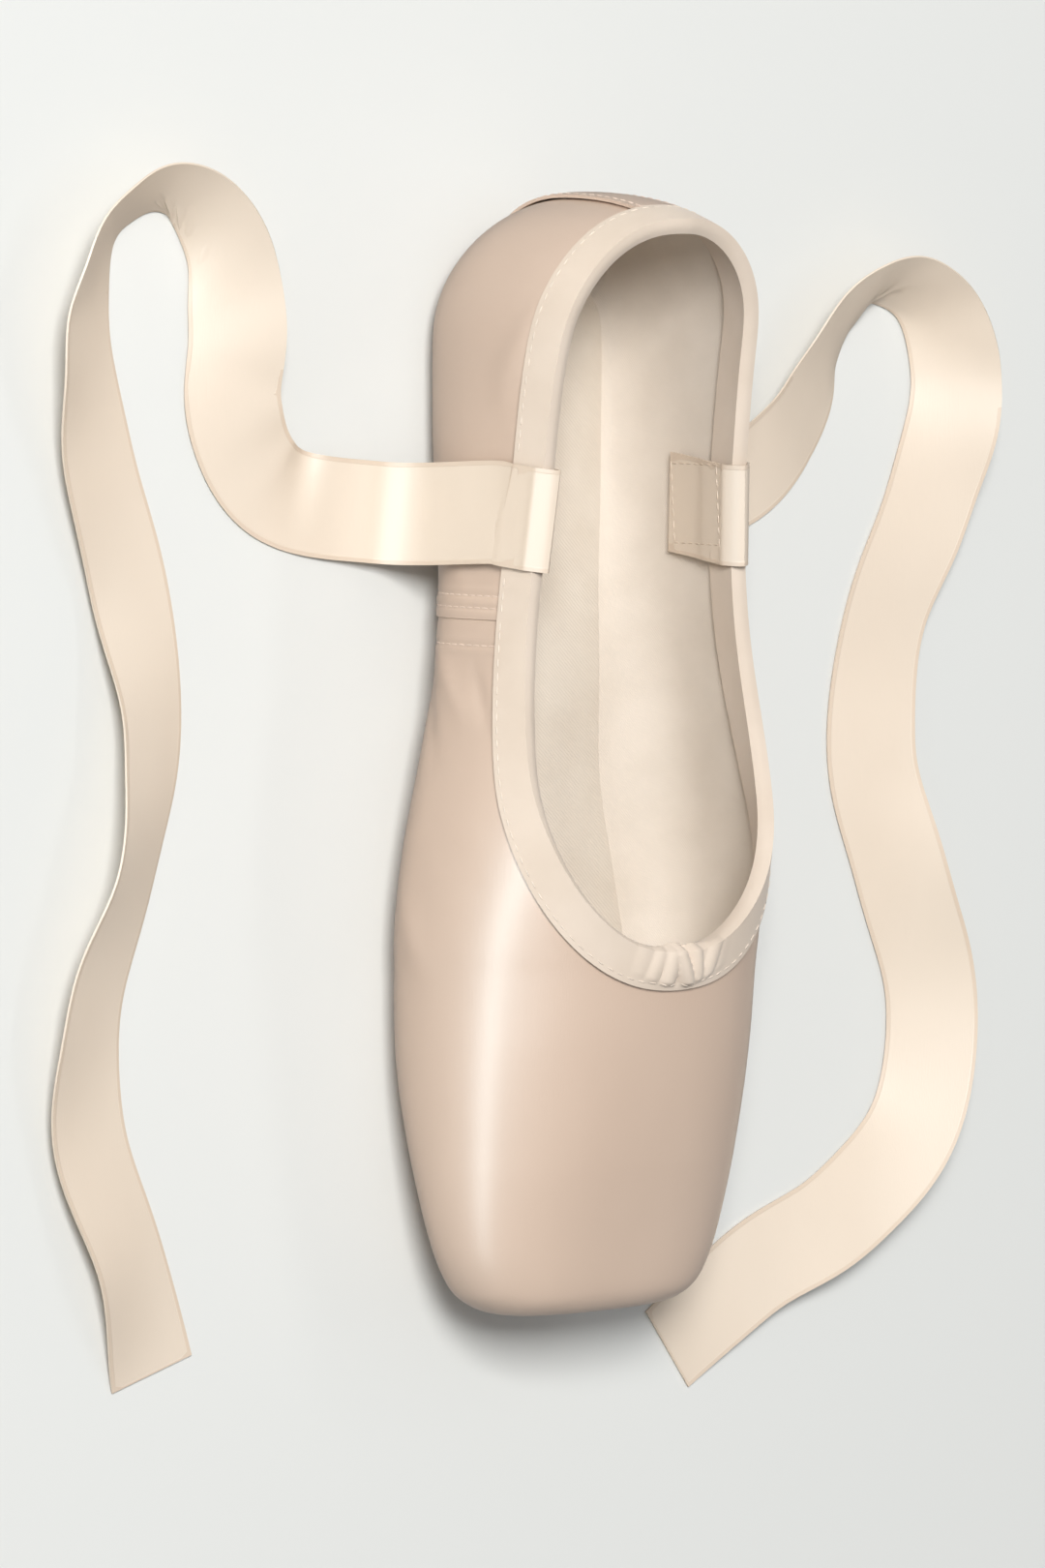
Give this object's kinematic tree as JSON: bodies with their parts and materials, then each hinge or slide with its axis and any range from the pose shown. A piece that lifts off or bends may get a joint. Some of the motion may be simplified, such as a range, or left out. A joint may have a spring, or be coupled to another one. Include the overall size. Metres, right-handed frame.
{
  "type": "pointe shoe",
  "caption": "Pale satin pointe shoe standing empty on its leather sole: stiff toe box with a flat platform, bound throat, loose ribbons on the floor.",
  "frame": {"origin": "on the floor under the middle of the shoe's box, ribbons left out", "axes": "toe towards -Y, heel towards +Y, up +Z; the shoe is the same on both sides of x = 0"},
  "size_m": [0.2654, 0.2734, 0.0599],
  "materials": {
    "satin": "pale pink satin, lengthwise sheen",
    "sole_leather": "matt buff leather, scored under the ball",
    "insole": "plain cotton over board",
    "binding_tape": "matt cotton twill",
    "ribbon": "cream satin ribbon with woven edges"
  },
  "bodies": {
    "root": {"upper": "satin", "outsole": "sole_leather", "insole": "insole", "binding": "binding_tape", "back_strip": "satin", "ribbon_right": "ribbon", "ribbon_left": "ribbon"}
  },
  "joints": []
}
